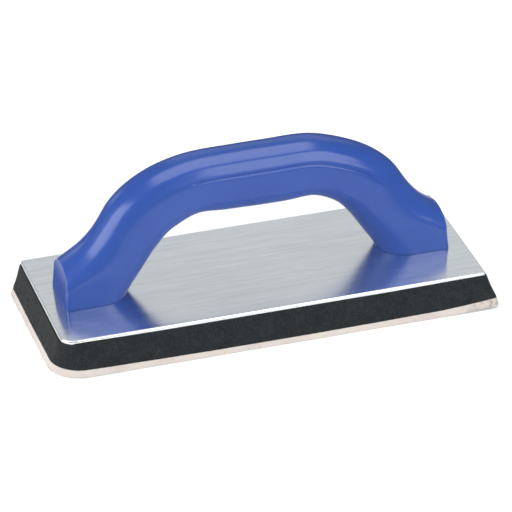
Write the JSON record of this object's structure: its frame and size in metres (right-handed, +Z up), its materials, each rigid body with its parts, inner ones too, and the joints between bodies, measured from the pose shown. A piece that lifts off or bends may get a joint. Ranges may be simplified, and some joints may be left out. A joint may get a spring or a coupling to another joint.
{
  "type": "rubber-faced hand float",
  "caption": "Grout float: a moulded plastic bridge handle on a flat aluminium plate, over a flared sponge-rubber pad with a thin gum-rubber working face.",
  "frame": {"origin": "centre of the working face, on the plane that it is laid on", "axes": "+X along the float's length, +Y across it, +Z up from the working face to the handle"},
  "size_m": [0.2414, 0.1016, 0.0922],
  "materials": {
    "handle_plastic": "moulded medium blue plastic, satin to soft gloss",
    "plate_aluminium": "bare rolled sheet with a fine lengthwise grain",
    "sponge_rubber": "black closed-cell sponge rubber, knife cut",
    "gum_rubber": "pinkish off-white gum rubber, matt",
    "contact_adhesive": "dried dark contact-adhesive film",
    "screw_steel": "bright zinc-plated"
  },
  "bodies": {
    "root": {"handle": "handle_plastic", "backing_plate": "plate_aluminium", "foam_pad": "sponge_rubber", "gum_face": "gum_rubber", "plate_adhesive": "contact_adhesive", "face_adhesive": "contact_adhesive", "handle_screws_left": "screw_steel", "handle_screws_right": "screw_steel"}
  },
  "joints": []
}
